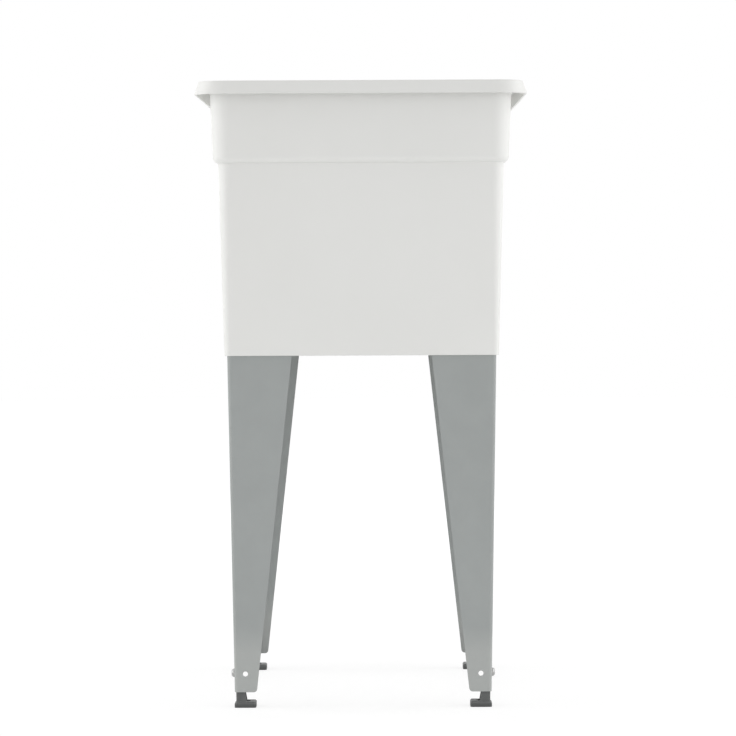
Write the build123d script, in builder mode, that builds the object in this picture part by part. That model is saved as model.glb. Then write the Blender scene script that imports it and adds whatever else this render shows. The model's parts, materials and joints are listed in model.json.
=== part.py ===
from build123d import *
from math import radians, tan
import os

# A free-standing utility laundry sink, in millimetres. +Z is up, the front faces -Y, and the
# origin is on the floor under the middle of the rim.

# ---- The tub, a single moulding ----
WIDTH = 457.2  # across the rim, to the corners that its lower edge rounds off
DEPTH = 609.6  # front to back over the rim, to the same corners
HEIGHT = 863.6  # floor to the top of the rim
WALL = 3.5  # thickness of the moulded walls
LIP_HEIGHT = 18.0  # the turned-down edge of the rim
LIP_SLOPE = 6.0  # how far the lip leans in towards its top
LIP_RADIUS = 44.0  # plan corner at the lip's lower edge
LIP_EDGE = 1.6  # rounding along the top of the lip
LIP_LOWER_EDGE = 1.0
RIM_INNER_EDGE = 3.0  # rounding from the rim into the basin
RIM_OVERHANG = 21.9  # from the lip's lower edge in to the band
BAND_HEIGHT = 111.4  # rim top to the step under the band
BAND_DRAFT = 2.12  # degrees
BAND_RADIUS = 26.0
BAND_EDGE = 8.0  # rounding along the band's lower edge
STEP = 6.9  # from the band in to the body
BODY_HEIGHT = 264.5  # the step down to the skirt's lower edge
BODY_DRAFT = 1.56  # degrees
BODY_RADIUS = 16.0
SKIRT_EDGE = 0.8  # rounding along the skirt's lower edge
LEDGE_EDGE = 2.5  # roundings along the ledge inside the basin
DECK_DEPTH = 110.0  # faucet deck, rear edge of the rim to the basin's rear wall
DECK_RIB_DEPTH = 18.0
DECK_RIB_PITCH = 200.0
FLOOR_RISE = 64.3  # the skirt's lower edge up to the basin floor at its walls
FLOOR_WALL = 4.0
FLOOR_FALL = 5.0  # drop of the basin floor from its walls to the drain
FLOOR_CORNER = 16.0  # upright corners inside the basin
FLOOR_FILLET = 14.0  # floor to wall inside the basin
TAP_HOLE_RADIUS = 14.3
TAP_PITCH = 50.8

# ---- Ribs under the basin ----
RIB = 4.0
RIB_DEPTH = 12.0
BOSS_RADIUS = 42.0  # round the drain
BOSS_THICKNESS = 5.5  # under the drain's recess
SOCKET_RIB = 4.0
SOCKET_GAP = 0.35  # the leg's flange to the socket's rib
SOCKET_LIFT = 4.0  # the socket's ribs end this far above the skirt's edge
SOCKET_ROUND = 6.0

# ---- Drain ----
SHANK_RADIUS = 23.9
SHANK_BORE = 20.0
SHANK_LENGTH = 27.0  # under the flange
TAILPIECE_RADIUS = 19.05
TAILPIECE_BORE = 16.8
TAILPIECE_LENGTH = 28.0
DRAIN_FLANGE_RADIUS = 36.5
DRAIN_FLANGE = 2.2
DRAIN_FLANGE_EDGE = 1.0
MOUTH_RADIUS = 22.4
MOUTH_DEPTH = 10.0
DRAIN_BAR_WIDTH = 3.0
DRAIN_BAR_DEPTH = 4.0
DRAIN_BAR_DROP = 2.0  # below the mouth
DRAIN_HUB_RADIUS = 4.5
DRAIN_CLEARANCE = 0.5  # round the drain in the floor and its recess
DRAIN_SEAL = 1.5
DRAIN_WASHER = 3.0
FRICTION_RING = 1.4
RING_RADIUS = 32.0
LOCKNUT_RADIUS = 30.0
LOCKNUT_HEIGHT = 12.0
LOCKNUT_LUGS = 6
LUG_REACH = 4.0
LUG_WIDTH = 8.0
SHANK_CLEARANCE = 0.3  # rings and nut round the shank

# ---- Stopper and its pull ring ----
STOPPER_GAP = 0.3  # all round in the drain's mouth
STOPPER_RADIUS = 26.0
STOPPER_FLANGE = 3.2
STOPPER_EDGE = 1.2
STOPPER_DEPTH = 8.5
STOPPER_HOLLOW_RADIUS = 14.0
STOPPER_HOLLOW_DEPTH = 6.0
EYELET_WIDTH = 7.0
EYELET_THICKNESS = 3.0
EYELET_RISE = 3.0  # stopper top to the eyelet's hole
EYELET_HOLE_RADIUS = 1.5
PULL_RING_RADIUS = 9.0
PULL_RING_WIRE = 0.9

# ---- Legs, folded from steel sheet ----
LEG_SHEET = 1.5
LEG_BEND = 5.0  # outer radius of the fold
LEG_GAP = 0.3  # leg to the inside of the skirt
LEG_LEAN = 0.92  # degrees, both ways
LEG_LIFT = 21.8  # floor to the end of the leg
LEG_HEADROOM = 0.5  # the leg's upper end to the basin floor
FLANGE_AT_SKIRT = 89.0
FLANGE_AT_FOOT = 30.7
FLANGE_END_RADIUS = 5.0
FOOT_HOLE_RADIUS = 3.55
FOOT_HOLE_RISE = 25.4  # above the end of the leg
FOOT_HOLE_INSET = 15.4  # from the fold
SCREW_INSET = 46.0  # socket screw, from the fold
SCREW_RISE = 25.0  # socket screw, above the skirt's edge
SCREW_HOLE_RADIUS = 2.25

# ---- Socket screws ----
SCREW_RADIUS = 2.1
SCREW_HEAD_RADIUS = 4.4
SCREW_HEAD = 2.6
SCREW_HEAD_EDGE = 1.0
SCREW_END = 0.2  # past the flange

# ---- Levelling feet ----
FOOT_LENGTH = 29.9  # side to side
FOOT_DEPTH = 28.5  # front to back
FOOT_HEIGHT = 8.0
FOOT_CHAMFER = 1.4
FOOT_SLOPE = 3.0  # fall and run of the top at the foot's outer end
FOOT_CORNER = 4.0
FOOT_OVERHANG = 0.4  # past the end of the leg, sideways
FOOT_SETBACK = 1.4  # behind the end of the leg
ANCHOR_RADIUS = 4.0
ANCHOR_INSET = 17.8  # from the foot's outer end
SLIDER_GAP = 0.3  # upright to the leg's flange
SLIDER_WALL = 2.4
SLIDER_RIB = 3.0
SLIDER_WIDTH = 25.0
SLIDER_TOP = 69.5  # above the floor
SLIDER_DEPTH_AT_FOOT = 14.4
SLIDER_DEPTH_AT_TOP = 4.4
SLIDER_CORNER = 2.5
SLOT_WIDTH = 7.0
SLOT_SPARE = 0.5  # at each end of the travel
TRAVEL = 12.0  # each way from where the feet stand

# ---- Foot bolts, washers and nuts ----
BOLT_RADIUS = 3.175
BOLT_LENGTH = 11.1
BOLT_HEAD_RADIUS = 6.0
BOLT_HEAD = 4.4
BOLT_DOME = 3.6
DRIVE_WIDTH = 1.6
DRIVE_LENGTH = 6.5
DRIVE_DEPTH = 1.6
BOLT_WASHER_RADIUS = 7.6
BOLT_WASHER = 1.0
BOLT_WASHER_GAP = 0.1
NUT_FLATS = 11.1
NUT_HEIGHT = 5.6
THREAD_GAP = 0.1

# Which side of the tub each leg stands on.
CORNERS = {
    "front_left": (-1, -1),
    "front_right": (1, -1),
    "rear_left": (-1, 1),
    "rear_right": (1, 1),
}

# ---- Heights that follow ----
z_lip = HEIGHT - LIP_HEIGHT
z_under_rim = HEIGHT - WALL
z_step = HEIGHT - BAND_HEIGHT
z_ledge = z_step + WALL
z_skirt = z_step - BODY_HEIGHT
z_floor = z_skirt + FLOOR_RISE  # the basin floor at its walls
z_drain = z_floor - FLOOR_FALL  # the basin floor round the drain
z_under_floor = z_floor - FLOOR_WALL
z_rib = z_drain - FLOOR_WALL - RIB_DEPTH
z_seat = z_drain - DRAIN_SEAL - DRAIN_FLANGE  # bottom of the drain's recess
z_boss = z_seat - BOSS_THICKNESS
z_flange = z_seat + DRAIN_SEAL
z_shank_end = z_flange - SHANK_LENGTH
z_tailpiece_end = z_shank_end - TAILPIECE_LENGTH
z_bars = z_drain - MOUTH_DEPTH - DRAIN_BAR_DROP - DRAIN_BAR_DEPTH
z_eyelet = z_drain + STOPPER_FLANGE + EYELET_RISE
z_socket = z_skirt + SOCKET_LIFT
z_leg_top = z_under_floor - LEG_HEADROOM
z_screw = z_skirt + SCREW_RISE
z_bolt = LEG_LIFT + FOOT_HOLE_RISE


# ---- Outlines of the tub, from its rim to its skirt ----
def outline(z, half_width, front, rear, radius):
    """A rounded rectangle at height z, symmetric about the middle of the tub."""
    with BuildSketch(Plane.XY.offset(z)) as face:
        with Locations((0, (front + rear) / 2)):
            RectangleRounded(2 * half_width, rear - front, radius)
    return face.sketch


def lip_outline(z, inset=0.0):
    lean = (z - z_lip) * LIP_SLOPE / LIP_HEIGHT + inset
    half_depth = DEPTH / 2 - lean
    return outline(z, WIDTH / 2 - lean, -half_depth, half_depth, LIP_RADIUS - lean)


def band_lean(z):
    """How far the band lies inside the lip's lower edge at height z."""
    return RIM_OVERHANG + (z_lip - z) * tan(radians(BAND_DRAFT))


def band_corner(z):
    return BAND_RADIUS + RIM_OVERHANG - band_lean(z)


def band_outline(z):
    half_depth = DEPTH / 2 - band_lean(z)
    return outline(z, WIDTH / 2 - band_lean(z), -half_depth, half_depth, band_corner(z))


def basin_rear(z):
    """The basin's rear wall above the ledge, on its wet side."""
    return DEPTH / 2 - DECK_DEPTH - (HEIGHT - z) * tan(radians(BAND_DRAFT))


def upper_basin_outline(z):
    inset = band_lean(z) + WALL
    corner = band_corner(z) - WALL
    return outline(z, WIDTH / 2 - inset, inset - DEPTH / 2, basin_rear(z), corner)


def deck_room_outline(z):
    inset = band_lean(z) + WALL
    corner = band_corner(z) - WALL
    return outline(z, WIDTH / 2 - inset, basin_rear(z) + WALL, DEPTH / 2 - inset, corner)


def body_lean(z):
    """How far the body has drawn in at height z, measured from the step."""
    return (z_step - z) * tan(radians(BODY_DRAFT))


def body_half_width(z):
    return WIDTH / 2 - band_lean(z_step) - STEP - body_lean(z)


def body_front(z):
    return band_lean(z_step) + STEP + body_lean(z) - DEPTH / 2


def body_rear(z):
    return basin_rear(z_ledge) + WALL - STEP - body_lean(z)


def body_outline(z):
    return outline(
        z, body_half_width(z), body_front(z), body_rear(z), BODY_RADIUS - body_lean(z)
    )


def body_room_outline(z, corner):
    half_width, front, rear = body_half_width(z) - WALL, body_front(z), body_rear(z)
    return outline(z, half_width, front + WALL, rear - WALL, corner)


def skirt_room_outline(z):
    return body_room_outline(z, BODY_RADIUS - body_lean(z) - WALL)


y_drain = (body_front(z_floor) + body_rear(z_floor)) / 2
y_taps = (basin_rear(HEIGHT) + DEPTH / 2 - band_lean(HEIGHT)) / 2


def pan_outline(z):
    """The flat round the drain that the sloping floor falls to."""
    return outline(z, BOSS_RADIUS, y_drain - BOSS_RADIUS, y_drain + BOSS_RADIUS, 0.9 * BOSS_RADIUS)


# ---- Places on a leg. A leg's two flanges lie along the sides of the tub ----
def leg_corner(sx, sy, z):
    """The leg's outer corner at height z."""
    inset = WALL + LEG_GAP + (z_skirt - z) * tan(radians(LEG_LEAN))
    edge = body_rear(z_skirt) - inset if sy > 0 else body_front(z_skirt) + inset
    return sx * (body_half_width(z_skirt) - inset), edge


def leg_flange(z):
    growth = (FLANGE_AT_SKIRT - FLANGE_AT_FOOT) / (z_skirt - LEG_LIFT)
    return FLANGE_AT_FOOT + (z - LEG_LIFT) * growth


def inward(sx, sy, z, points):
    """Plan points given by how far they lie in from the leg's two outer faces at height z."""
    x, y = leg_corner(sx, sy, z)
    return [(x - sx * u, y - sy * v) for u, v in points]


def rounded_polygon(z, corners, rounds):
    """A polygon at height z, with some of its corners rounded."""
    with BuildSketch(Plane.XY.offset(z)) as face:
        Polygon(*corners)
        for index, radius in rounds.items():
            fillet(face.vertices().sort_by_distance((*corners[index], 0))[0], radius)
    return face.sketch


def angle(reach, face, back):
    """An angle with its fold towards the leg's outer corner."""
    return [(face, face), (reach, face), (reach, back), (back, back), (back, reach), (face, reach)]


def leg_section(sx, sy, z):
    corners = inward(sx, sy, z, angle(leg_flange(z), 0, LEG_SHEET))
    return rounded_polygon(z, corners, {0: LEG_BEND, 3: LEG_BEND - LEG_SHEET})


def foot_hole_planes(sx, sy):
    """On the leg's outer faces at its two foot holes, looking out, with x up the leg."""
    lean = tan(radians(LEG_LEAN))
    up = (sx * lean, sy * lean, 1)
    on_side, on_end = inward(sx, sy, z_bolt, [(0, FOOT_HOLE_INSET), (FOOT_HOLE_INSET, 0)])
    return [
        Plane(origin=(*on_side, z_bolt), x_dir=up, z_dir=(sx, 0, -lean)),
        Plane(origin=(*on_end, z_bolt), x_dir=up, z_dir=(0, sy, -lean)),
    ]


def bolt_plane(sx, sy, depth=0.0):
    """Across the foot bolt, which goes through the side flange, at a depth inside the leg."""
    return foot_hole_planes(sx, sy)[0].offset(-depth)


def screw_planes(sx, sy, u):
    """Across the two level screws of a leg's socket, u in from the skirt, looking out."""
    on_side, on_end = inward(sx, sy, z_skirt, [(u, SCREW_INSET), (SCREW_INSET, u)])
    return [
        Plane(origin=(*on_side, z_screw), z_dir=(sx, 0, 0)),
        Plane(origin=(*on_end, z_screw), z_dir=(0, sy, 0)),
    ]


def turned(points, mode=Mode.ADD):
    """A profile of (radius, height) points, turned about the drain's axis."""
    with BuildSketch(Plane.XZ.offset(-y_drain)) as profile:
        Polygon(*points)
    revolve(profile.sketch, Axis((0, y_drain, 0), (0, 0, 1)), mode=mode)


def ring(z_low, thickness, outer, inner):
    """A flat ring about the drain's axis."""
    z_high = z_low + thickness
    turned([(inner, z_low), (outer, z_low), (outer, z_high), (inner, z_high)])


def round_edge(builder, plane):
    """The round edge nearest to a plane's origin."""
    return builder.edges().filter_by(GeomType.CIRCLE).sort_by_distance(plane.origin)[0]


def finish(part, name):
    part.label = name
    export_step(part, f"parts/{name}.step")


os.makedirs("parts", exist_ok=True)

# ---- Tub ----
# The room inside the basin: the body up to the ledge, a floor that falls from all four walls to
# the drain, and the wider room above the ledge.
with BuildPart() as basin_room:
    loft([body_room_outline(z, FLOOR_CORNER) for z in (z_floor, z_ledge)], ruled=True)
    loft([pan_outline(z_drain), body_room_outline(z_floor, FLOOR_CORNER)], ruled=True)
    fillet(basin_room.edges().filter_by_position(Axis.Z, z_floor, z_floor), FLOOR_FILLET)
    loft([upper_basin_outline(z) for z in (z_ledge, HEIGHT)], ruled=True)
    fillet(basin_room.edges().filter_by_position(Axis.Z, z_ledge, z_ledge), LEDGE_EDGE)

socket_face = LEG_SHEET + SOCKET_GAP
socket_back = socket_face + SOCKET_RIB
socket_end = leg_flange(z_leg_top) + SOCKET_GAP
socket_reach = socket_end + SOCKET_RIB

with BuildPart() as tub:
    # Rim and band. The rim is hollow underneath, and so is the deck behind the basin.
    loft([lip_outline(z) for z in (z_lip, HEIGHT)], ruled=True)
    fillet(tub.faces().sort_by(Axis.Z)[-1].edges(), LIP_EDGE)
    fillet(tub.faces().sort_by(Axis.Z)[0].edges(), LIP_LOWER_EDGE)
    loft([lip_outline(z, WALL) for z in (z_lip, z_under_rim)], ruled=True, mode=Mode.SUBTRACT)
    loft([band_outline(z) for z in (z_step, HEIGHT)], ruled=True)
    fillet(tub.faces().sort_by(Axis.Z)[0].edges(), BAND_EDGE)
    loft([deck_room_outline(z) for z in (z_step, z_under_rim)], ruled=True, mode=Mode.SUBTRACT)
    with BuildSketch(Plane.XY.offset(z_under_rim - DECK_RIB_DEPTH)):
        with Locations((0, y_taps)):
            with GridLocations(DECK_RIB_PITCH, 0, 2, 1):
                Rectangle(RIB, DECK_DEPTH - RIM_OVERHANG - WALL)
    extrude(amount=DECK_RIB_DEPTH)
    # Body, open underneath up to the basin floor.
    loft([body_outline(z) for z in (z_skirt, z_ledge)], ruled=True)
    fillet(tub.faces().sort_by(Axis.Z)[0].edges(), SKIRT_EDGE)
    loft([skirt_room_outline(z) for z in (z_skirt, z_under_floor)], ruled=True, mode=Mode.SUBTRACT)
    loft([pan_outline(z_drain - FLOOR_WALL), skirt_room_outline(z_under_floor)], ruled=True)
    # Drain boss, and a rib from it to each wall.
    with BuildSketch(Plane.XY.offset(z_boss)):
        with Locations((0, y_drain)):
            Circle(BOSS_RADIUS)
    extrude(amount=z_floor - z_boss)
    with BuildSketch(Plane.XY.offset(z_rib)):
        with Locations((0, y_drain)):
            Rectangle(2 * body_half_width(z_skirt) - WALL, RIB)
            Rectangle(RIB, body_rear(z_skirt) - body_front(z_skirt) - WALL)
            Circle(BOSS_RADIUS - WALL, mode=Mode.SUBTRACT)
    extrude(amount=z_floor - z_rib)
    # Leg sockets: an angle of ribs inside each corner of the skirt, closed at both ends.
    for sx, sy in CORNERS.values():
        corners = inward(sx, sy, z_skirt, angle(socket_reach, socket_face, socket_back))
        rounds = {0: SOCKET_ROUND, 3: SOCKET_ROUND - SOCKET_RIB}
        extrude(rounded_polygon(z_socket, corners, rounds), amount=z_floor - z_socket)
        span, end = (-WALL, socket_back), (socket_end, socket_reach)
        with BuildSketch(Plane.XY.offset(z_socket)):
            for (u0, u1), (v0, v1) in ((end, span), (span, end)):
                Polygon(*inward(sx, sy, z_skirt, [(u0, v0), (u1, v0), (u1, v1), (u0, v1)]))
        extrude(amount=z_floor - z_socket)
        with Locations(*screw_planes(sx, sy, socket_back)):
            Hole(SCREW_HOLE_RADIUS, SOCKET_RIB + SOCKET_GAP)
    add(basin_room.part, mode=Mode.SUBTRACT)
    fillet(tub.faces().sort_by(Axis.Z)[-1].inner_wires().edges(), RIM_INNER_EDGE)
    # Drain recess and hole, tap holes.
    with BuildSketch(Plane.XY.offset(z_seat)):
        with Locations((0, y_drain)):
            Circle(DRAIN_FLANGE_RADIUS + DRAIN_CLEARANCE)
    extrude(amount=z_floor - z_seat, mode=Mode.SUBTRACT)
    with Locations((0, y_drain, z_boss)):
        Hole(SHANK_RADIUS + DRAIN_CLEARANCE, 2 * BOSS_THICKNESS)
    with Locations((0, y_taps, HEIGHT)):
        with GridLocations(TAP_PITCH, 0, 3, 1):
            Hole(TAP_HOLE_RADIUS, 2 * WALL)
finish(tub.part, "tub")

# ---- Drain, from the basin down ----
# The shank takes the locknut, and the narrower tailpiece under it takes the trap.
with BuildPart() as drain_body:
    turned(
        [
            (TAILPIECE_BORE, z_tailpiece_end),
            (TAILPIECE_RADIUS, z_tailpiece_end),
            (TAILPIECE_RADIUS, z_shank_end),
            (SHANK_RADIUS, z_shank_end),
            (SHANK_RADIUS, z_flange),
            (DRAIN_FLANGE_RADIUS, z_flange),
            (DRAIN_FLANGE_RADIUS, z_drain),
            (MOUTH_RADIUS, z_drain),
            (SHANK_BORE, z_drain - MOUTH_DEPTH),
            (SHANK_BORE, z_shank_end + SHANK_BORE - TAILPIECE_BORE),
            (TAILPIECE_BORE, z_shank_end),
        ]
    )
    fillet(drain_body.edges().filter_by_position(Axis.Z, z_drain, z_drain)[0], DRAIN_FLANGE_EDGE)
    with BuildSketch(Plane.XY.offset(z_bars)):
        with Locations((0, y_drain)):
            Rectangle(SHANK_RADIUS + SHANK_BORE, DRAIN_BAR_WIDTH)
            Rectangle(DRAIN_BAR_WIDTH, SHANK_RADIUS + SHANK_BORE)
            Circle(DRAIN_HUB_RADIUS)
    extrude(amount=DRAIN_BAR_DEPTH)
finish(drain_body.part, "drain_body")

loose_on_shank = SHANK_RADIUS + SHANK_CLEARANCE
z_washer = z_boss - DRAIN_WASHER
z_friction_ring = z_washer - FRICTION_RING
z_locknut = z_friction_ring - LOCKNUT_HEIGHT

with BuildPart() as drain_seal:
    ring(z_seat, DRAIN_SEAL, DRAIN_FLANGE_RADIUS - DRAIN_FLANGE_EDGE, loose_on_shank)
finish(drain_seal.part, "drain_seal")

with BuildPart() as drain_washer:
    ring(z_washer, DRAIN_WASHER, RING_RADIUS, loose_on_shank)
finish(drain_washer.part, "drain_washer")

with BuildPart() as drain_friction_ring:
    ring(z_friction_ring, FRICTION_RING, RING_RADIUS, loose_on_shank)
finish(drain_friction_ring.part, "drain_friction_ring")

with BuildPart() as drain_locknut:
    with BuildSketch(Plane.XY.offset(z_locknut)):
        with Locations((0, y_drain)):
            Circle(LOCKNUT_RADIUS)
            with PolarLocations(LOCKNUT_RADIUS, LOCKNUT_LUGS):
                Rectangle(2 * LUG_REACH, LUG_WIDTH)
            Circle(loose_on_shank, mode=Mode.SUBTRACT)
    extrude(amount=LOCKNUT_HEIGHT)
finish(drain_locknut.part, "drain_locknut")

# ---- Stopper, which lifts out by its ring ----
plug_top = MOUTH_RADIUS - STOPPER_GAP
plug_end = plug_top - (MOUTH_RADIUS - SHANK_BORE) * STOPPER_DEPTH / MOUTH_DEPTH
z_plug_end = z_drain - STOPPER_DEPTH

with BuildPart() as drain_stopper:
    turned(
        [
            (0, z_plug_end + STOPPER_HOLLOW_DEPTH),
            (STOPPER_HOLLOW_RADIUS - STOPPER_GAP, z_plug_end + STOPPER_HOLLOW_DEPTH),
            (STOPPER_HOLLOW_RADIUS, z_plug_end),
            (plug_end, z_plug_end),
            (plug_top, z_drain),
            (STOPPER_RADIUS, z_drain),
            (STOPPER_RADIUS, z_drain + STOPPER_FLANGE),
            (0, z_drain + STOPPER_FLANGE),
        ]
    )
    fillet(drain_stopper.faces().sort_by(Axis.Z)[-1].edges(), STOPPER_EDGE)
    with BuildSketch(Plane.YZ) as eyelet:
        with Locations((y_drain, z_eyelet)):
            Circle(EYELET_WIDTH / 2)
            Rectangle(EYELET_WIDTH, EYELET_RISE, align=(Align.CENTER, Align.MAX))
            Circle(EYELET_HOLE_RADIUS, mode=Mode.SUBTRACT)
    extrude(amount=EYELET_THICKNESS / 2, both=True)
finish(drain_stopper.part, "drain_stopper")

with BuildPart() as stopper_ring:
    with Locations((0, y_drain + PULL_RING_RADIUS, z_eyelet)):
        Torus(PULL_RING_RADIUS, PULL_RING_WIRE)
finish(stopper_ring.part, "stopper_ring")


# ---- Legs and feet ----
def make_leg(sx, sy):
    """A tapered angle, drilled at its foot and for its two socket screws."""
    with BuildPart() as leg:
        loft([leg_section(sx, sy, z) for z in (LEG_LIFT, z_leg_top)], ruled=True)
        end_edges = leg.faces().sort_by(Axis.Z)[0].edges().sort_by_distance(
            (*leg_corner(sx, sy, LEG_LIFT), LEG_LIFT)
        )
        fillet(end_edges[-2:], FLANGE_END_RADIUS)
        with Locations(*foot_hole_planes(sx, sy)):
            Hole(FOOT_HOLE_RADIUS, 2 * LEG_SHEET)
        with Locations(*screw_planes(sx, sy, 0)):
            Hole(SCREW_HOLE_RADIUS, 2 * LEG_SHEET)
    return leg.part


def make_leg_screws(sx, sy):
    """Two screws, through the socket's ribs into the leg's flanges."""
    shank = socket_back + SCREW_RISE * tan(radians(LEG_LEAN)) + SCREW_END
    with BuildPart() as screws:
        for plane in screw_planes(sx, sy, socket_back):
            with BuildSketch(plane):
                Circle(SCREW_HEAD_RADIUS)
            extrude(amount=-SCREW_HEAD)
            fillet(round_edge(screws, plane.offset(-SCREW_HEAD)), SCREW_HEAD_EDGE)
            with BuildSketch(plane):
                Circle(SCREW_RADIUS)
            extrude(amount=shank)
    return screws.part


slider_face = LEG_SHEET + SLIDER_GAP
slider_back = slider_face + SLIDER_WALL


def slider_section(sx, sy, z):
    """The foot's upright in plan: a channel whose two ribs deepen towards the floor."""
    rise = (z - FOOT_HEIGHT) / (SLIDER_TOP - FOOT_HEIGHT)
    tip = slider_face + SLIDER_DEPTH_AT_FOOT + rise * (SLIDER_DEPTH_AT_TOP - SLIDER_DEPTH_AT_FOOT)
    near = FOOT_HOLE_INSET - SLIDER_WIDTH / 2
    far = FOOT_HOLE_INSET + SLIDER_WIDTH / 2
    channel = [
        (slider_face, near),
        (slider_face, far),
        (tip, far),
        (tip, far - SLIDER_RIB),
        (slider_back, far - SLIDER_RIB),
        (slider_back, near + SLIDER_RIB),
        (tip, near + SLIDER_RIB),
        (tip, near),
    ]
    return rounded_polygon(z, inward(sx, sy, z, channel), {0: SLIDER_CORNER, 1: SLIDER_CORNER})


def make_leveller(sx, sy):
    """A foot with a slotted upright that slides on the inside of the leg."""
    outer, inner = -FOOT_OVERHANG, FOOT_LENGTH - FOOT_OVERHANG
    front, rear = FOOT_SETBACK, FOOT_SETBACK + FOOT_DEPTH
    sole = inward(
        sx, sy, LEG_LIFT, [(outer, front), (inner, front), (inner, rear), (outer, rear)]
    )
    anchor = inward(sx, sy, LEG_LIFT, [(ANCHOR_INSET - FOOT_OVERHANG, FOOT_HOLE_INSET)])[0]
    with BuildPart() as leveller:
        extrude(rounded_polygon(0, sole, dict.fromkeys(range(4), FOOT_CORNER)), amount=FOOT_HEIGHT)
        chamfer(leveller.faces().sort_by(Axis.Z)[-1].edges(), FOOT_CHAMFER)
        # The top slopes down at the foot's outer end.
        end, edge = sole[0]
        with BuildSketch(Plane.XZ.offset(-edge)):
            Polygon(
                (end, FOOT_HEIGHT - FOOT_SLOPE),
                (end, FOOT_HEIGHT),
                (end - sx * FOOT_SLOPE, FOOT_HEIGHT),
                align=None,
            )
        extrude(amount=FOOT_DEPTH, both=True, mode=Mode.SUBTRACT)
        loft([slider_section(sx, sy, z) for z in (FOOT_HEIGHT / 2, SLIDER_TOP)], ruled=True)
        with BuildSketch(bolt_plane(sx, sy, slider_back)):
            SlotOverall(2 * (TRAVEL + SLOT_SPARE) + SLOT_WIDTH, SLOT_WIDTH)
        extrude(amount=2 * SLIDER_WALL, mode=Mode.SUBTRACT)
        with Locations(anchor):
            Hole(ANCHOR_RADIUS, FOOT_HEIGHT)
    return leveller.part


def make_leveller_bolt(sx, sy):
    """A round-head bolt, from outside through the leg and the foot's slot."""
    plane = bolt_plane(sx, sy)
    with BuildPart() as bolt:
        with BuildSketch(plane):
            Circle(BOLT_HEAD_RADIUS)
        extrude(amount=BOLT_HEAD)
        fillet(round_edge(bolt, plane.offset(BOLT_HEAD)), BOLT_DOME)
        with BuildSketch(plane.offset(BOLT_HEAD)):
            Rectangle(DRIVE_LENGTH, DRIVE_WIDTH)
            Rectangle(DRIVE_WIDTH, DRIVE_LENGTH)
        extrude(amount=-DRIVE_DEPTH, mode=Mode.SUBTRACT)
        with BuildSketch(plane):
            Circle(BOLT_RADIUS)
        extrude(amount=-BOLT_LENGTH)
    return bolt.part


def make_leveller_washer(sx, sy):
    with BuildPart() as washer:
        with BuildSketch(bolt_plane(sx, sy, slider_back + BOLT_WASHER_GAP)):
            Circle(BOLT_WASHER_RADIUS)
            Circle(FOOT_HOLE_RADIUS, mode=Mode.SUBTRACT)
        extrude(amount=-BOLT_WASHER)
    return washer.part


def make_leveller_nut(sx, sy):
    with BuildPart() as nut:
        with BuildSketch(bolt_plane(sx, sy, slider_back + BOLT_WASHER_GAP + BOLT_WASHER)):
            RegularPolygon(NUT_FLATS / 2, 6, major_radius=False)
            Circle(BOLT_RADIUS + THREAD_GAP, mode=Mode.SUBTRACT)
        extrude(amount=-NUT_HEIGHT)
    return nut.part


MAKERS = {
    "leg": make_leg,
    "leg_screws": make_leg_screws,
    "leveller": make_leveller,
    "leveller_bolt": make_leveller_bolt,
    "leveller_washer": make_leveller_washer,
    "leveller_nut": make_leveller_nut,
}

for corner, (sx, sy) in CORNERS.items():
    for name, make in MAKERS.items():
        finish(make(sx, sy), f"{name}_{corner}")
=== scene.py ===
"""The looks of a utility laundry sink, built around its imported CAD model. Metres, +Z up."""

import json
from math import cos, pi, radians, sin, sqrt, tan, tau

import bmesh
import bpy
from mathutils import Matrix, Vector


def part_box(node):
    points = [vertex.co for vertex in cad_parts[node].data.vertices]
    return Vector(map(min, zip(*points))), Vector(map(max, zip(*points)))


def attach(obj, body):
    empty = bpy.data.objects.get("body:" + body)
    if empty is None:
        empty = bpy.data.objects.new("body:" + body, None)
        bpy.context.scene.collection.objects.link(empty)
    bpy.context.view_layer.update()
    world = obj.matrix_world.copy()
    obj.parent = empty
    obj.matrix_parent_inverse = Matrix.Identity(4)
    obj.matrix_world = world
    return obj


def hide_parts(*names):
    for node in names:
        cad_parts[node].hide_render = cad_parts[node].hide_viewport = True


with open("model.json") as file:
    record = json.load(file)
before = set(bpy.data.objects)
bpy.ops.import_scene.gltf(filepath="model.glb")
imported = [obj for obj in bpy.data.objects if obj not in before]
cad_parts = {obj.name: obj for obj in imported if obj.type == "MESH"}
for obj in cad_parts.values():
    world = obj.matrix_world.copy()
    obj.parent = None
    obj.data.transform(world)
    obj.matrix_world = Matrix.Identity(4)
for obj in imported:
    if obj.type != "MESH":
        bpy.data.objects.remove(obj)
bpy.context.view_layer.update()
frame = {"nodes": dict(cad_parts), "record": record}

MM = 0.001
SLOTS = {part["node"]: part["material_slot"] for part in frame["record"]["subparts"]}
CORNERS = {  # each leg's side of the middle, in x and in y
    "front_left": (-1, -1),
    "front_right": (1, -1),
    "rear_left": (-1, 1),
    "rear_right": (1, 1),
}

# ---- Camera: the photograph's place, aim and field of view ----
PHOTO_SIDE = 736  # pixels
FOCAL_LENGTH = 3106.0  # pixels
SENSOR = 36.0  # millimetres
CAMERA_PLACE = (0.0275, -4.5315, 0.626)
CAMERA_YAW, CAMERA_DIP, CAMERA_ROLL = 0.254, 2.087, -0.251  # degrees
CLIP_NEAR, CLIP_FAR = 0.1, 50.0

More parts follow.
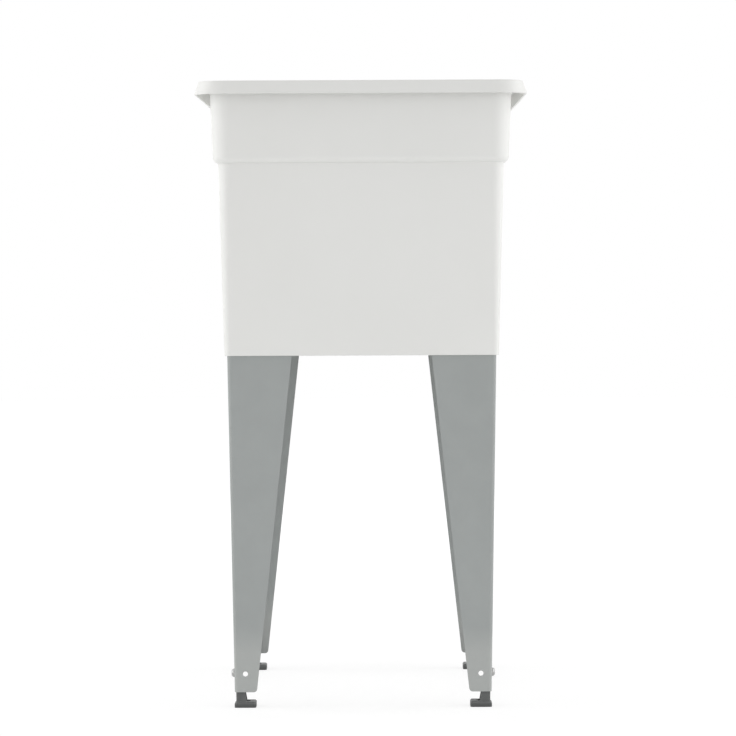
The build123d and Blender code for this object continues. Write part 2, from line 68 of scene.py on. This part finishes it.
# ---- Light: strengths, where 1 shows as white ----
WHITE_COLOR = (1.0, 1.0, 1.0, 1.0)
WHITE = 1.0  # for the rays that show what is behind the object
SKY = 0.67  # for the rays that light it
LAMPS = {
    # name: place, height of the target on the z axis, width and height, watts
    "low": ((0.0, -1.1, 0.08), 0.08, (1.2, 0.12), 0.25),
    "left": ((-2.7, 0.0, 1.1), 0.5, (1.8, 1.8), 13.5),
    "right": ((2.7, 0.0, 1.1), 0.5, (1.8, 1.8), 13.0),
    "left_front": ((-2.3, -1.6, 0.75), 0.4, (1.4, 1.4), 10.0),
    "right_front": ((2.3, -1.6, 0.75), 0.4, (1.4, 1.4), 10.0),
    "left_high": ((-2.2, 0.0, 2.4), 0.6, (1.6, 1.6), 12.0),
    "right_high": ((2.2, 0.0, 2.4), 0.6, (1.6, 1.6), 12.0),
    "back": ((-0.3, 3.3, 1.5), 0.5, (2.4, 1.6), 24.0),
}

# ---- Floor: a disc whose paint is partly a glow, so that it shows white round a soft shadow ----
FLOOR_RADIUS, FLOOR_SIDES = 9.0, 48
GLOW_SHARE = 0.72
GLOW_FROM, GLOW_TO = 0.6, 3.0  # distances from the object's middle, over which the glow grows
GLOW_NEAR, GLOW_FAR = 1.06, 1.17

# ---- Places on the pieces that a finish follows ----
LEG_PALE_FROM, LEG_PALE_TO = 112 * MM, 76 * MM  # heights: the paint gets paler downwards
FOOT_DARKER_FROM, FOOT_DARKER_TO = 6.2 * MM, 3.2 * MM  # heights: the foot gets darker downwards
ANCHOR_RADIUS = 4.0 * MM
ANCHOR_INSET = 17.8 * MM  # from the foot's outer end
ANCHOR_RIM = 0.3 * MM, 0.4 * MM  # how far outside the hole its painted shade starts to fade, and ends

# ---- Hardware ----
LEG_LEAN = radians(0.92)
BOLT = {
    "head_radius": 6.0 * MM,
    "head": 4.4 * MM,
    "dome": 3.6 * MM,
    "crest": 3.175 * MM,
    "root": 2.6 * MM,
    "pitch": 1.27 * MM,
    "cross": (6.5 * MM, 1.6 * MM, 1.9 * MM),
}
SCREW = {
    "head_radius": 4.4 * MM,
    "head": 2.6 * MM,
    "dome": 1.0 * MM,
    "crest": 2.1 * MM,
    "root": 1.5 * MM,
    "pitch": 1.41 * MM,
    "cross": (4.6 * MM, 1.1 * MM, 1.5 * MM),
}
NUT_FLATS, NUT_BORE = 11.1 * MM, 3.275 * MM  # width across the flats, radius of the bore
NUT_FACE = 0.47 * NUT_FLATS  # radius of the flat inside the chamfer
NUT_CHAMFER = radians(30)
NUT_LEAD = 0.4 * MM  # chamfer of the bore
SHARP_EDGE = radians(32)  # faces that meet at less look like one smooth face

# ---- How finely the hardware is divided ----
FASTENER_SIDES, NUT_SIDES = 48, 72
DOME_STEPS, CHAMFER_STEPS = 8, 6
THREAD_STEPS = 8  # for each turn


# ---- Node trees ----
def feed(tree, socket, value):
    """Links a socket to another, or sets it to a value."""
    if isinstance(value, bpy.types.NodeSocket):
        tree.links.new(value, socket)
    else:
        socket.default_value = value


def add_node(tree, kind, inputs=None, **settings):
    """A node with its settings made and its inputs fed."""
    node = tree.nodes.new(kind)
    for name, value in settings.items():
        setattr(node, name, value)
    for name, value in (inputs or {}).items():
        feed(tree, node.inputs[name], value)
    return node


def calculate(tree, operation, *values):
    """The result of a math node on sockets or numbers."""
    inputs = dict(enumerate(values))
    return add_node(tree, "ShaderNodeMath", inputs, operation=operation).outputs["Value"]


def vector_math(tree, operation, *values):
    """The outputs of a vector math node on sockets or vectors."""
    inputs = dict(enumerate(values))
    return add_node(tree, "ShaderNodeVectorMath", inputs, operation=operation).outputs


def spread(tree, value, low, high, to_low=0.0, to_high=1.0):
    """The value from low..high mapped to to_low..to_high, and held there."""
    inputs = {
        "Value": value,
        "From Min": low,
        "From Max": high,
        "To Min": to_low,
        "To Max": to_high,
    }
    return add_node(tree, "ShaderNodeMapRange", inputs).outputs["Result"]


def noise(tree, place, scale, detail=3.0):
    """Noise from 0 to 1, with features about 1 / scale metres across."""
    inputs = {"Vector": place, "Scale": scale, "Detail": detail}
    return add_node(tree, "ShaderNodeTexNoise", inputs).outputs["Fac"]


def blend_colors(tree, factor, first, second):
    """The first colour where the factor is 0, the second where it is 1."""
    node = add_node(tree, "ShaderNodeMix", {"Factor": factor}, data_type="RGBA")
    color_inputs = [socket for socket in node.inputs if socket.type == "RGBA"]
    for socket, color in zip(color_inputs, (first, second)):
        feed(tree, socket, (*color, 1.0) if isinstance(color, tuple) else color)
    return next(socket for socket in node.outputs if socket.type == "RGBA")


# ---- What the finishes share. pattern is a noise's scale and detail, and a colour's span ----
def start_material(name):
    """A new material, its tree and the place of the shaded point on its object."""
    made = bpy.data.materials.new(name)
    made.use_nodes = True
    tree = made.node_tree
    return made, tree, add_node(tree, "ShaderNodeTexCoord").outputs["Object"]


def set_shader(tree, **values):
    """Feeds the Principled shader's inputs, named with underscores for spaces."""
    shader = tree.nodes["Principled BSDF"]
    for name, value in values.items():
        feed(tree, shader.inputs[name.replace("_", " ")], value)


def clouds(tree, place, low=0.0, high=1.0, span=0.4, **pattern):
    """Noise whose middle span of values is stretched to low..high."""
    value = noise(tree, place, **pattern)
    return spread(tree, value, 0.5 - span / 2, 0.5 + span / 2, low, high)


def mottled(tree, place, colors, **pattern):
    """A colour that drifts between two."""
    return blend_colors(tree, clouds(tree, place, **pattern), *colors)


def soft_edges(tree, radius):
    """A normal that rounds sharp edges."""
    return add_node(tree, "ShaderNodeBevel", {"Radius": radius}, samples=4).outputs["Normal"]


def grain(tree, place, height, base=None, **pattern):
    """A normal that stands for bumps of a height, on top of a base normal."""
    inputs = {"Height": noise(tree, place, **pattern), "Distance": height, "Strength": 1.0}
    if base is not None:
        inputs["Normal"] = base
    return add_node(tree, "ShaderNodeBump", inputs).outputs["Normal"]


def edge_wear(tree, place, radius, **pattern):
    """0 on flat faces, and more in patches along edges that a radius would round off."""
    begins, full = 0.99, 0.80  # cosines of the angle by which the rounding turns the surface
    flat = add_node(tree, "ShaderNodeNewGeometry").outputs["True Normal"]
    facing = vector_math(tree, "DOT_PRODUCT", soft_edges(tree, radius), flat)["Value"]
    edge = spread(tree, facing, begins, full)
    return calculate(tree, "MULTIPLY", edge, noise(tree, place, **pattern))


def downwards(tree, place, top, bottom):
    """0 above one height, and 1 below another."""
    height = add_node(tree, "ShaderNodeSeparateXYZ", {"Vector": place}).outputs["Z"]
    return spread(tree, height, top, bottom)


# ---- Finishes ----
def tub_plastic():
    """White moulded plastic: satin, with a fine grain and the faint waves of a large moulding."""
    whites = (0.750, 0.751, 0.732), (0.764, 0.765, 0.747)
    rubbed_white = (0.80, 0.80, 0.79)
    edge = 1.2 * MM
    made, tree, place = start_material("tub_plastic")
    color = mottled(tree, place, whites, scale=5.0, detail=2.0, span=0.3)
    rubbed = edge_wear(tree, place, edge, scale=45.0)
    color = blend_colors(tree, rubbed, color, rubbed_white)
    waves = grain(tree, place, 0.4 * MM, soft_edges(tree, edge), scale=14.0, detail=1.0)
    normal = grain(tree, place, 0.012 * MM, waves, scale=1400.0, detail=2.0)
    polish = calculate(tree, "MULTIPLY", rubbed, 0.12)
    rough = clouds(tree, place, low=0.40, high=0.50, scale=60.0)
    rough = calculate(tree, "SUBTRACT", rough, polish)
    set_shader(tree, Base_Color=color, Roughness=rough, Normal=normal, IOR=1.49)
    return made


def leg_paint():
    """Grey powder coat with a fine orange peel, on folded steel sheet: paler at the leg's end."""
    greys = (0.316, 0.334, 0.329), (0.328, 0.346, 0.341)
    end_grey = (0.382, 0.396, 0.386)
    worn_grey = (0.43, 0.44, 0.43)
    made, tree, place = start_material("leg_paint")
    color = mottled(tree, place, greys, scale=30.0, span=0.3)
    end = downwards(tree, place, LEG_PALE_FROM, LEG_PALE_TO)
    color = blend_colors(tree, end, color, end_grey)
    worn = edge_wear(tree, place, 0.6 * MM, scale=160.0, detail=4.0)
    color = blend_colors(tree, worn, color, worn_grey)
    peel = grain(tree, place, 0.04 * MM, soft_edges(tree, 0.5 * MM), scale=700.0, detail=2.0)
    rough = clouds(tree, place, low=0.42, high=0.52, scale=250.0)
    set_shader(tree, Base_Color=color, Roughness=rough, Normal=peel)
    return made


def anchor_shade_mask(tree, place):
    """1 on the walls of the feet's anchor holes, which are upright: where the shade deep in the
    holes is painted.
    """
    plan = vector_math(tree, "MULTIPLY", place, (1.0, 1.0, 0.0))["Vector"]
    distances = []
    for corner, (side, _) in CORNERS.items():
        low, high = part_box(f"leveller_{corner}")
        hole_x = side * (max(side * low.x, side * high.x) - ANCHOR_INSET)
        hole = (hole_x, (low.y + high.y) / 2, 0.0)
        distances.append(vector_math(tree, "DISTANCE", plan, hole)["Value"])
    nearest = distances[0]
    for distance in distances[1:]:
        nearest = calculate(tree, "MINIMUM", nearest, distance)
    inside, outside = (ANCHOR_RADIUS + rim for rim in ANCHOR_RIM)
    return spread(tree, nearest, outside, inside)


def foot_plastic():
    """Dark grey moulded plastic with pale edges, darker towards the floor, with painted shade in
    the anchor hole.
    """
    greys = (0.104, 0.108, 0.107), (0.119, 0.123, 0.122)
    scuffed_grey = (0.33, 0.335, 0.333)
    bottom_grey = (0.080, 0.083, 0.082)
    painted_hole_shade = (0.012, 0.012, 0.012)
    made, tree, place = start_material("foot_plastic")
    color = mottled(tree, place, greys, scale=120.0)
    scuffs = edge_wear(tree, place, 1.2 * MM, scale=300.0, detail=4.0)
    color = blend_colors(tree, scuffs, color, scuffed_grey)
    # The foot gets darker towards the floor.
    darker_bottom = downwards(tree, place, FOOT_DARKER_FROM, FOOT_DARKER_TO)
    color = blend_colors(tree, darker_bottom, color, bottom_grey)
    # Painted shade: the anchor holes' walls are coloured nearly black for the shade deep inside
    # them.
    color = blend_colors(tree, anchor_shade_mask(tree, place), color, painted_hole_shade)
    normal = grain(tree, place, 0.04 * MM, soft_edges(tree, 0.5 * MM), scale=1800.0, detail=2.0)
    rough = clouds(tree, place, low=0.50, high=0.62, scale=300.0)
    set_shader(tree, Base_Color=color, Roughness=rough, Normal=normal, Specular_IOR_Level=0.35)
    return made


def zinc_steel():
    """Plated steel of the bolts, nuts, washers and screws: dull, and darker in patches."""
    greys = (0.35, 0.355, 0.36), (0.44, 0.44, 0.43)
    made, tree, place = start_material("zinc_steel")
    color = mottled(tree, place, greys, scale=400.0)
    normal = grain(tree, place, 0.01 * MM, soft_edges(tree, 0.3 * MM), scale=3000.0, detail=2.0)
    rough = clouds(tree, place, low=0.28, high=0.42, scale=600.0)
    set_shader(tree, Base_Color=color, Metallic=1.0, Roughness=rough, Normal=normal)
    return made


def drain_plastic():
    """Glossy white plastic of the drain and its locknut."""
    whites = (0.67, 0.67, 0.65), (0.69, 0.69, 0.67)
    made, tree, place = start_material("drain_plastic")
    color = mottled(tree, place, whites, scale=80.0)
    normal = grain(tree, place, 0.02 * MM, soft_edges(tree, 0.5 * MM), scale=900.0, detail=2.0)
    rough = clouds(tree, place, low=0.25, high=0.31, scale=200.0)
    set_shader(tree, Base_Color=color, Roughness=rough, Normal=normal)
    return made


def friction_plastic():
    """Dull cream plastic of the friction ring."""
    creams = (0.62, 0.58, 0.48), (0.72, 0.68, 0.58)
    made, tree, place = start_material("friction_plastic")
    color = mottled(tree, place, creams, scale=300.0, detail=4.0)
    normal = grain(tree, place, 0.03 * MM, scale=1500.0, detail=2.0)
    rough = clouds(tree, place, low=0.55, high=0.70, scale=300.0)
    set_shader(tree, Base_Color=color, Roughness=rough, Normal=normal)
    return made


def rubber():
    """Black rubber of the stopper, the seal and the washer."""
    blacks = (0.020, 0.020, 0.021), (0.038, 0.038, 0.038)
    made, tree, place = start_material("rubber")
    color = mottled(tree, place, blacks, scale=90.0, detail=4.0)
    normal = grain(tree, place, 0.04 * MM, soft_edges(tree, 0.6 * MM), scale=1200.0)
    rough = clouds(tree, place, low=0.55, high=0.75, scale=200.0)
    set_shader(tree, Base_Color=color, Roughness=rough, Normal=normal)
    return made


def ring_steel():
    """Bright wire of the pull ring."""
    brights = (0.66, 0.66, 0.67), (0.74, 0.74, 0.74)
    made, tree, place = start_material("ring_steel")
    color = mottled(tree, place, brights, scale=600.0)
    rough = clouds(tree, place, low=0.12, high=0.22, scale=900.0)
    set_shader(tree, Base_Color=color, Metallic=1.0, Roughness=rough)
    return made


FINISHES = {
    make.__name__: make()
    for make in (
        tub_plastic,
        leg_paint,
        foot_plastic,
        zinc_steel,
        drain_plastic,
        friction_plastic,
        rubber,
        ring_steel,
    )
}


def dress(obj, slot):
    """Gives an object its one material."""
    obj.data.materials.clear()
    obj.data.materials.append(FINISHES[slot])


for node, slot in SLOTS.items():
    dress(frame["nodes"][node], slot)


# ---- Objects and meshes ----
def add_object(name, data):
    """A new object in the scene."""
    obj = bpy.data.objects.new(name, data)
    bpy.context.collection.objects.link(obj)
    return obj


def mesh_of(build, name):
    """The mesh of a bmesh, which is freed."""
    mesh = bpy.data.meshes.new(name)
    build.to_mesh(mesh)
    build.free()
    return mesh


def ring_mesh(outline, sides, closed=False):
    """A mesh about the z axis from rings of (radius, height). A radius may depend on the angle."""
    angles = [tau * i / sides for i in range(sides)]
    build = bmesh.new()
    rings = []
    for radius, height in outline:
        reach = [radius(angle) if callable(radius) else radius for angle in angles]
        points = [(r * cos(angle), r * sin(angle), height) for r, angle in zip(reach, angles)]
        rings.append([build.verts.new(point) for point in points])
    joined = list(zip(rings, rings[1:]))
    if closed:
        joined.append((rings[-1], rings[0]))
    else:
        build.faces.new(rings[0])
        build.faces.new(rings[-1])
    for one, other in joined:
        for i in range(sides):
            j = (i + 1) % sides
            build.faces.new((one[i], one[j], other[j], other[i]))
    bmesh.ops.recalc_face_normals(build, faces=build.faces)
    return mesh_of(build, "rings")


# ---- Bolts, nuts and screws, round the axes of the CAD's plain ones ----
def thread(crest, root, pitch, height):
    """A thread's radius at a height, as a function of the angle."""
    steepness = 1.15  # above 1 the crest gets a narrow flat

    def radius(angle):
        turn = (height / pitch - angle / tau) % 1.0
        return root + (crest - root) * min(1.0, steepness * (1 - abs(2 * turn - 1)))

    return radius


def fastener_mesh(length, head_radius, head, dome, crest, root, pitch, cross):
    """A round-head bolt or screw: its head from z = 0 up, its threaded shank down.

    head is the head's height, dome the radius of its rounding, crest and root are the thread's
    radii, and cross is the length, width and depth of the recess.
    """
    turns = [pi / 2 * i / DOME_STEPS for i in range(DOME_STEPS + 1)]
    outline = [(head_radius - dome * (1 - sin(t)), head - dome * (1 - cos(t))) for t in turns]
    outline += [(head_radius, 0.0), (crest, 0.0)]
    run_out = 0.8 * pitch
    levels = round(THREAD_STEPS * length / pitch)
    for i in range(1, levels + 1):
        depth = length * i / levels
        full = min(1.0, (length - depth) / run_out)
        outline.append((thread(root + full * (crest - root), root, pitch, -depth), -depth))
    return cut_cross(ring_mesh(outline, FASTENER_SIDES), head, cross)


def cross_bar(length, width, depth, top):
    """A cutter for half a cross recess: a bar along x that narrows downwards from a height."""
    ends = (
        (top + 0.2 * depth, 1.1, 1.06),  # its height, and its shares of the length and width
        (top - depth, 0.5, 0.7),
    )
    build = bmesh.new()
    for height, long_share, wide_share in ends:
        x, y = long_share * length / 2, wide_share * width / 2
        for corner in ((-x, -y), (x, -y), (x, y), (-x, y)):
            build.verts.new((*corner, height))
    bmesh.ops.convex_hull(build, input=build.verts)
    return mesh_of(build, "bar")


def cut_cross(mesh, top, cross):
    """The mesh with a recess of (length, width, depth) cut into its face at a height."""
    holder = add_object("fastener", mesh)
    bars = [add_object(f"bar_{i}", cross_bar(*cross, top)) for i in range(2)]
    bars[1].rotation_euler.z = pi / 2
    for tool in bars:
        cut = holder.modifiers.new(tool.name, "BOOLEAN")
        cut.operation = "DIFFERENCE"
        cut.solver = "EXACT"
        cut.object = tool
    shaped = holder.evaluated_get(bpy.context.evaluated_depsgraph_get())
    result = bpy.data.meshes.new_from_object(shaped)
    for obj in (holder, *bars):
        bpy.data.objects.remove(obj)
    return result


def nut_mesh(height):
    """A hexagon nut about the z axis, centred on it, chamfered at both faces and in its bore."""
    top, sixth = height / 2, pi / 3

    def rim(level):
        """The radius at a level by angle: the hexagon's, or the chamfer cone's if that is less."""
        cone = NUT_FACE + (top - abs(level)) / tan(NUT_CHAMFER)
        return lambda a: min(cone, NUT_FLATS / 2 / cos((a + sixth / 2) % sixth - sixth / 2))

    reach = (NUT_FLATS / sqrt(3) - NUT_FACE) * tan(NUT_CHAMFER)
    chamfer = [top - reach * i / CHAMFER_STEPS for i in range(CHAMFER_STEPS + 1)]
    levels = [-level for level in chamfer] + chamfer[::-1]
    outline = [(rim(level), level) for level in levels]
    outline += [(NUT_BORE + NUT_LEAD, top), (NUT_BORE, top - NUT_LEAD)]
    outline += [(NUT_BORE, NUT_LEAD - top), (NUT_BORE + NUT_LEAD, -top)]
    return ring_mesh(outline, NUT_SIDES, closed=True)


def add_piece(name, mesh, place, axis, node):
    """Puts a mesh at a place, its z axis along an axis, as a piece that replaces a CAD node."""
    mesh.polygons.foreach_set("use_smooth", [True] * len(mesh.polygons))
    mesh.set_sharp_from_angle(angle=SHARP_EDGE)
    obj = add_object(name, mesh)
    turn = axis.to_track_quat("Z", "Y").to_matrix().to_4x4()
    obj.matrix_world = Matrix.Translation(place) @ turn
    dress(obj, SLOTS[node])
    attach(obj, "root")
    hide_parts(node)


def bolt_axis(side):
    """The direction to a foot bolt's head, square to the leg's leaning outer side."""
    return Vector((side * cos(LEG_LEAN), 0.0, -sin(LEG_LEAN)))


def add_bolt(corner, side):
    """A foot bolt. Its head alone sets the height of its box, and the head's face its reach."""
    node = f"leveller_bolt_{corner}"
    low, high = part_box(node)
    flat_radius = BOLT["head_radius"] - BOLT["dome"]
    face = max(side * low.x, side * high.x) - flat_radius * sin(LEG_LEAN)
    seat = (low + high) / 2
    seat.x = side * (face - BOLT["head"] * cos(LEG_LEAN))
    length = (high.x - low.x) / cos(LEG_LEAN) - BOLT["head"] - BOLT["crest"] * sin(LEG_LEAN)
    add_piece(f"{node}_threaded", fastener_mesh(length, **BOLT), seat, bolt_axis(side), node)


def add_nut(corner, side):
    """A foot bolt's nut, as thick as its leaning box allows."""
    node = f"leveller_nut_{corner}"
    low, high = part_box(node)
    height = (high.x - low.x - (high.z - low.z) * sin(LEG_LEAN)) / cos(LEG_LEAN)
    add_piece(f"{node}_chamfered", nut_mesh(height), (low + high) / 2, bolt_axis(side), node)


def loose_boxes(node):
    """The low and high corners of each separate solid in a CAD node, in the order of x."""
    build = bmesh.new()
    build.from_mesh(frame["nodes"][node].data)
    bmesh.ops.remove_doubles(build, verts=build.verts, dist=0.01 * MM)
    left = set(build.verts)
    boxes = []
    while left:
        solid, waiting = set(), [next(iter(left))]
        while waiting:
            vert = waiting.pop()
            if vert not in solid:
                solid.add(vert)
                waiting += [edge.other_vert(vert) for edge in vert.link_edges]
        left -= solid
        spans = [sorted(vert.co[axis] for vert in solid) for axis in range(3)]
        boxes.append((Vector(span[0] for span in spans), Vector(span[-1] for span in spans)))
    build.free()
    return sorted(boxes, key=lambda box: box[0].x)


def add_socket_screws(corner, signs):
    """A leg's two socket screws, one along x and one along y, their heads towards the middle."""
    node = f"leg_screws_{corner}"
    for name, (low, high) in zip(("one", "two"), loose_boxes(node)):
        size = high - low
        along = 0 if size.x > size.y else 1
        axis = Vector((0.0, 0.0, 0.0))
        axis[along] = -signs[along]
        seat = (low + high) / 2
        seat[along] += signs[along] * (SCREW["head"] - size[along] / 2)
        mesh = fastener_mesh(size[along] - SCREW["head"], **SCREW)
        add_piece(f"{node}_{name}", mesh, seat, axis, node)


for corner, signs in CORNERS.items():
    add_bolt(corner, signs[0])
    add_nut(corner, signs[0])
    add_socket_screws(corner, signs)


# ---- Studio ----
def show_rays(tree):
    """1 for the rays that show the surroundings, 0 for those that light the object."""
    path = add_node(tree, "ShaderNodeLightPath").outputs
    seen = calculate(tree, "MAXIMUM", path["Is Camera Ray"], path["Is Glossy Ray"])
    return calculate(tree, "MAXIMUM", seen, path["Is Transmission Ray"])


def make_world():
    """A pale sky that shows as white."""
    world = bpy.data.worlds.new("studio")
    bpy.context.scene.world = world
    world.use_nodes = True
    tree = world.node_tree
    tree.nodes.clear()
    strength = spread(tree, show_rays(tree), 0.0, 1.0, SKY, WHITE)
    shell = add_node(tree, "ShaderNodeBackground", {"Color": WHITE_COLOR, "Strength": strength})
    add_node(tree, "ShaderNodeOutputWorld", {"Surface": shell.outputs[0]})


def floor_paint():
    """Pale matt paint, mixed with its glow for the rays that show it."""
    greys = (0.89, 0.89, 0.89), (0.91, 0.91, 0.91)
    made, tree, place = start_material("floor_paint")
    color = mottled(tree, place, greys, scale=25.0)
    set_shader(tree, Base_Color=color, Roughness=0.9, Specular_IOR_Level=0.0)
    away = vector_math(tree, "LENGTH", place)["Value"]
    strength = spread(tree, away, GLOW_FROM, GLOW_TO, GLOW_NEAR, GLOW_FAR)
    glow = add_node(tree, "ShaderNodeEmission", {"Color": WHITE_COLOR, "Strength": strength})
    share = calculate(tree, "MULTIPLY", show_rays(tree), GLOW_SHARE)
    paint = tree.nodes["Principled BSDF"]
    inputs = {0: share, 1: paint.outputs[0], 2: glow.outputs[0]}
    mixed = add_node(tree, "ShaderNodeMixShader", inputs)
    feed(tree, tree.nodes["Material Output"].inputs["Surface"], mixed.outputs[0])
    return made


def make_floor():
    """The floor: a flat disc with its pale paint."""
    angles = [tau * i / FLOOR_SIDES for i in range(FLOOR_SIDES)]
    rim = [(FLOOR_RADIUS * cos(angle), FLOOR_RADIUS * sin(angle), 0.0) for angle in angles]
    mesh = bpy.data.meshes.new("floor")
    mesh.from_pydata(rim, [], [tuple(range(FLOOR_SIDES))])
    floor = add_object("floor", mesh)
    floor.data.materials.append(floor_paint())


def make_lamp(name, place, target_height, size, power):
    """A rectangular lamp that the camera doesn't see."""
    lamp = bpy.data.lights.new(name, "AREA")
    lamp.shape = "RECTANGLE"
    lamp.size, lamp.size_y = size
    lamp.energy = power
    obj = add_object(name, lamp)
    obj.location = place
    aim = Vector((0.0, 0.0, target_height)) - Vector(place)
    obj.rotation_mode = "QUATERNION"
    obj.rotation_quaternion = aim.to_track_quat("-Z", "Y")
    obj.visible_camera = False


def make_camera():
    """The camera, which turns by its yaw, its dip and its roll in this order."""
    data = bpy.data.cameras.new("camera")
    data.sensor_width = SENSOR
    data.lens = FOCAL_LENGTH * SENSOR / PHOTO_SIDE
    data.clip_start, data.clip_end = CLIP_NEAR, CLIP_FAR
    camera = add_object("camera", data)
    turn = Matrix.Rotation(radians(CAMERA_YAW), 4, "Z")
    turn = turn @ Matrix.Rotation(radians(90 - CAMERA_DIP), 4, "X")
    turn = turn @ Matrix.Rotation(radians(CAMERA_ROLL), 4, "Z")
    camera.matrix_world = Matrix.Translation(CAMERA_PLACE) @ turn
    bpy.context.scene.camera = camera


make_world()
make_floor()
for name, lamp in LAMPS.items():
    make_lamp(name, *lamp)
make_camera()
bpy.context.scene.view_settings.view_transform = "Standard"
